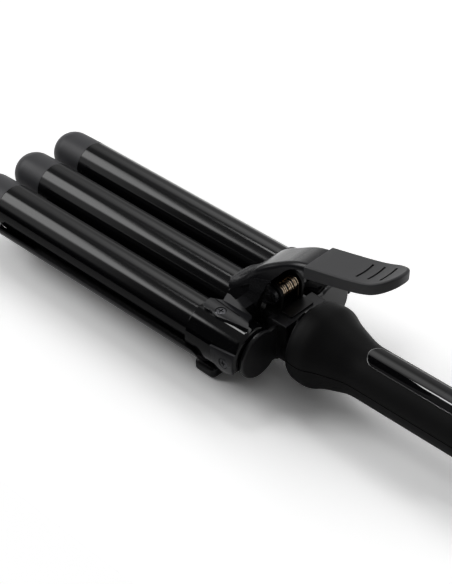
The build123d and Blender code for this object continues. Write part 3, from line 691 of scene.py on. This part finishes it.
softening = {"merge": 0.002, "flatAngle": 0.4, "cornerAngle": 38, "segments": 3, "shadeAngle": 36,
             "faceWeight": 100, "pieces": {
    "neck_block": ("handle", 0.25), "lever_stop": ("handle", 0.2), "jaw_yoke": ("jaw", 0.25),
    "head_housing": ("handle", 0.25), "lower_cover_front": ("jaw", 0.2),
    "lower_cover_rear": ("jaw", 0.2), "lower_base": ("handle", 0.3)}}


def softenEdges(name, body, width, settings):
    # a merged copy of the node, left where the node is
    work = bmesh.new()
    work.from_mesh(nodes[name].data)
    bmesh.ops.remove_doubles(work, verts=work.verts, dist=settings["merge"] * mm)
    bmesh.ops.dissolve_limit(work, angle_limit=math.radians(settings["flatAngle"]), verts=work.verts,
                             edges=work.edges)
    corners = [edge for edge in work.edges if len(edge.link_faces) == 2
               and edge.calc_face_angle() > math.radians(settings["cornerAngle"])]
    bmesh.ops.bevel(work, geom=corners, offset=width * mm, segments=settings["segments"], profile=0.5,
                    affect="EDGES", clamp_overlap=True, harden_normals=False)
    piece = finishMesh(work, name + "Soft", nodes[name].material_slots[0].material)
    shadeByAngle(piece, settings["shadeAngle"])
    # the large flat faces keep their own normals
    weigh = piece.modifiers.new("weigh", "WEIGHTED_NORMAL")
    weigh.keep_sharp = True
    weigh.weight = settings["faceWeight"]
    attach(piece, body)
    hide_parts(name)


for name, (body, width) in softening["pieces"].items():
    softenEdges(name, body, width, softening)
print("soft edges ready:", len(softening["pieces"]))


# printed marks on the buttons

marks = {"top": 12.0, "lift": 0.02, "ring": 1.35, "line": 0.32, "ringSteps": 40, "ringGap": 38,
         "stemStart": 0.85, "stemLength": 1.1, "powerX": 303.0, "upX": 281.0, "downX": 290.5}


def addBar(work, x, y, length, width, height):
    corners = [(-1, -1), (1, -1), (1, 1), (-1, 1)]
    work.faces.new([work.verts.new(place(x + a * length / 2, y + b * width / 2, height)) for a, b in corners])


def addArc(work, x, radius, width, gap, steps, height):
    # an open ring, its gap towards the cord end
    inner = []
    outer = []
    for step in range(steps + 1):
        angle = math.radians(gap + (360 - 2 * gap) * step / steps)
        for ring, r in ((inner, radius - width / 2), (outer, radius + width / 2)):
            ring.append(work.verts.new(place(x + r * math.cos(angle), r * math.sin(angle), height)))
    for corners in zip(inner, outer, outer[1:], inner[1:]):
        work.faces.new(corners)


def addMarks(settings):
    height = settings["top"] + settings["lift"]
    line = settings["line"]
    ring = settings["ring"]
    for name, x, body in (("powerMark", settings["powerX"], "power_button"),
                          ("upMark", settings["upX"], "temp_up_button"),
                          ("downMark", settings["downX"], "temp_down_button")):
        work = bmesh.new()
        if name == "powerMark":
            addArc(work, x, ring, line, settings["ringGap"], settings["ringSteps"], height)
            addBar(work, x + ring * settings["stemStart"], 0, ring * settings["stemLength"], line, height)
        else:
            addBar(work, x, 0, line, ring * 2, height)
        if name == "upMark":
            for side in (-1, 1):
                addBar(work, x + side * (ring / 2 + line / 4), 0, ring - line / 2, line, height)
        bmesh.ops.recalc_face_normals(work, faces=work.faces)
        for face in work.faces:
            if face.normal.z < 0:
                face.normal_flip()
        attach(finishMesh(work, name, finishes["markPrint"]), body)


addMarks(marks)
print("marks ready")


camera = {"position": (0.34513, -0.39419, 0.45630), "azimuth": 43.732, "elevation": 38.593,
          "roll": 0.008, "focalPixels": 1538.66, "frameWidth": 452, "nearest": 0.01, "farthest": 20}


def addCamera(settings):
    data = bpy.data.cameras.new("studioCamera")
    data.sensor_fit = "HORIZONTAL"
    data.lens = settings["focalPixels"] / settings["frameWidth"] * data.sensor_width
    data.clip_start = settings["nearest"]
    data.clip_end = settings["farthest"]
    azimuth, elevation, roll = (math.radians(settings[angle]) for angle in ("azimuth", "elevation", "roll"))
    ahead = Vector((-math.sin(azimuth) * math.cos(elevation), math.cos(azimuth) * math.cos(elevation),
                    -math.sin(elevation)))
    side = Vector((math.cos(azimuth), math.sin(azimuth), 0))
    turn = Matrix((side, side.cross(ahead), -ahead)).transposed() @ Matrix.Rotation(roll, 3, "Z")
    holder = addObject("studioCamera", data)
    holder.matrix_world = Matrix.Translation(settings["position"]) @ turn.to_4x4()
    bpy.context.scene.camera = holder


addCamera(camera)


# soft panels placed by direction. Each has its level and its edges, and an edge is the axis it
# lies across, where it starts and ends, and the brightness before and after it

studio = {
    "panels": {
        # the pale sweep, rising in two steps from a dark front
        "front": (1.0, [("Y", -0.62, -0.48, 0.04, 0.26)]),
        "back": (0.16, [("Y", 0.22, 0.38, 0, 1)]),
        "left": (0.9, [("X", -0.64, -0.57, 1, 0), ("Y", -0.56, -0.46, 1, 0), ("Z", 0.1, 0.3, 0, 1)]),
        # a brighter strip high on the sweep
        "strip": (1.36, [("X", -0.66, -0.54, 0.15, 1), ("Y", 0.27, 0.47, 0, 1), ("Y", 0.57, 0.77, 1, 0),
                         ("Z", 0.2, 0.5, 0, 1)]),
        # over the barrel tips, and cut off by the slant towards the handle
        "softbox": (5.2, [("Y", -0.56, -0.46, 0, 1), ("X", -0.55, -0.525, 1, 0), ("X", -0.95, -0.8, 0, 1),
                          ("Z", 0.1, 0.3, 0, 1)]),
        # the sweep's bright far corner
        "glow": (0.9, [("X", -0.74, -0.68, 1, 0), ("Y", 0.2, 0.4, 0, 1), ("Z", 0.1, 0.35, 1, 0)]),
        # a small bare lamp over the hinge
        "spark": (10.5, [("X", -0.542, -0.532, 0, 1), ("X", -0.46, -0.44, 1, 0), ("Y", 0.08, 0.12, 0, 1),
                         ("Y", 0.18, 0.22, 1, 0), ("Z", 0.4, 0.5, 0, 1)]),
        # another along the handle
        "edge": (24.0, [("X", -0.43, -0.42, 0, 1), ("X", -0.36, -0.33, 1, 0), ("Y", 0.2, 0.23, 0, 1),
                        ("Y", 0.26, 0.29, 1, 0), ("Z", 0.4, 0.5, 0, 1)]),
    },
    "slant": {"start": -0.62, "rate": 12.5, "power": 0.6, "fall": -0.37, "top": -0.05, "below": 0.06,
              "above": 0.07},
    "horizon": ("Z", -0.03, 0.03, 0.02, 1),
}


def addWorld(settings):
    world = bpy.data.worlds.new("studioWorld")
    bpy.context.scene.world = world
    world.use_nodes = True
    tree = world.node_tree
    tree.nodes.clear()
    direction = addNode(tree, "ShaderNodeTexCoord", -1500, 0).outputs["Generated"]
    axes = dict(zip("XYZ", axesOf(tree, direction)))

    def edge(axis, *steps):
        return ramp(tree, axes[axis], *steps)

    slant = settings["slant"]
    along = mathNode(tree, "SUBTRACT", axes["X"], slant["start"])
    bend = mathNode(tree, "POWER", mathNode(tree, "MULTIPLY", along, slant["rate"], clamp=True), slant["power"])
    rim = mathNode(tree, "MULTIPLY_ADD", bend, slant["fall"], slant["top"])
    slanted = ramp(tree, axes["Y"], mathNode(tree, "SUBTRACT", rim, slant["below"]),
                   mathNode(tree, "ADD", rim, slant["above"]), 1.0, 0.0)
    total = 0.0
    for name, (level, edges) in settings["panels"].items():
        panel = times(tree, *(edge(*steps) for steps in edges), level)
        if name == "softbox":
            panel = times(tree, panel, slanted)
        total = mathNode(tree, "ADD", total, panel)
    white = (1, 1, 1, 1)
    room = addNode(tree, "ShaderNodeBackground", 0, 0, {"Color": white,
        "Strength": times(tree, total, edge(*settings["horizon"]))})
    blank = addNode(tree, "ShaderNodeBackground", 0, -200, {"Color": white})
    path = addNode(tree, "ShaderNodeLightPath", 0, 300).outputs
    seen = mathNode(tree, "MAXIMUM", path["Is Camera Ray"], path["Is Transmission Ray"])
    mix = addNode(tree, "ShaderNodeMixShader", 300, 0, {"Fac": seen, 1: room.outputs["Background"],
        2: blank.outputs["Background"]})
    addNode(tree, "ShaderNodeOutputWorld", 500, 0, {"Surface": mix.outputs["Shader"]})


# the last three values place and set the painted darker reflection of the floor at the front left
floorPaper = {"colour": 0.86, "gain": 1.68, "roughness": 0.9, "specular": 0.1, "front": -0.135, "side": 2.5,
              "back": 3.0, "brightY": (0.03, 0.07), "reflectedShadeY": (-0.04, -0.03), "reflectedShadeX": (-0.03, -0.01),
              "reflectedShadeLevel": 0.4}


def addFloor(settings):
    mesh = bpy.data.meshes.new("studioFloor")
    near, side, far = (settings[edge] for edge in ("front", "side", "back"))
    mesh.from_pydata([(-side, near, 0), (side, near, 0), (side, far, 0), (-side, far, 0)], [], [(0, 1, 2, 3)])
    floor = addObject("studioFloor", mesh)
    material, tree, shader = startMaterial("floorPaper")
    x, y = axesOf(tree, addNode(tree, "ShaderNodeTexCoord", -400, -600).outputs["Object"])[:2]
    path = addNode(tree, "ShaderNodeLightPath", 0, 300).outputs
    paper, bright, dark = ((level, level, level, 1) for level in (settings["colour"],
        settings["colour"] * settings["gain"], settings["colour"] * settings["reflectedShadeLevel"]))
    # a painted darker reflection at the front left: the paper is darkened there only for gloss, as painted
    # shade, with no card
    reflectedShade = times(tree, path["Is Glossy Ray"], ramp(tree, y, *settings["reflectedShadeY"], 1.0, 0.0),
                 ramp(tree, x, *settings["reflectedShadeX"], 1.0, 0.0))
    setInput(tree, shader.inputs["Base Color"], mixColours(tree, -200, 300, reflectedShade, paper, dark))
    shader.inputs["Roughness"].default_value = settings["roughness"]
    shader.inputs["Specular IOR Level"].default_value = settings["specular"]
    # the camera sees the paper over-exposed, with its shadows, and so does gloss away from the object
    seen = addNode(tree, "ShaderNodeBsdfDiffuse", 0, -400, {"Color": bright})
    glossy = times(tree, path["Is Glossy Ray"], ramp(tree, y, *settings["brightY"], 0.0, 1.0))
    mix = addNode(tree, "ShaderNodeMixShader", 400, 0, {
        "Fac": mathNode(tree, "MAXIMUM", path["Is Camera Ray"], glossy), 1: shader.outputs["BSDF"],
        2: seen.outputs["BSDF"]})
    setInput(tree, tree.nodes["Material Output"].inputs["Surface"], mix.outputs["Shader"])
    mesh.materials.append(material)


addWorld(studio)
addFloor(floorPaper)
bpy.context.scene.view_settings.view_transform = "Standard"
print("studio ready")
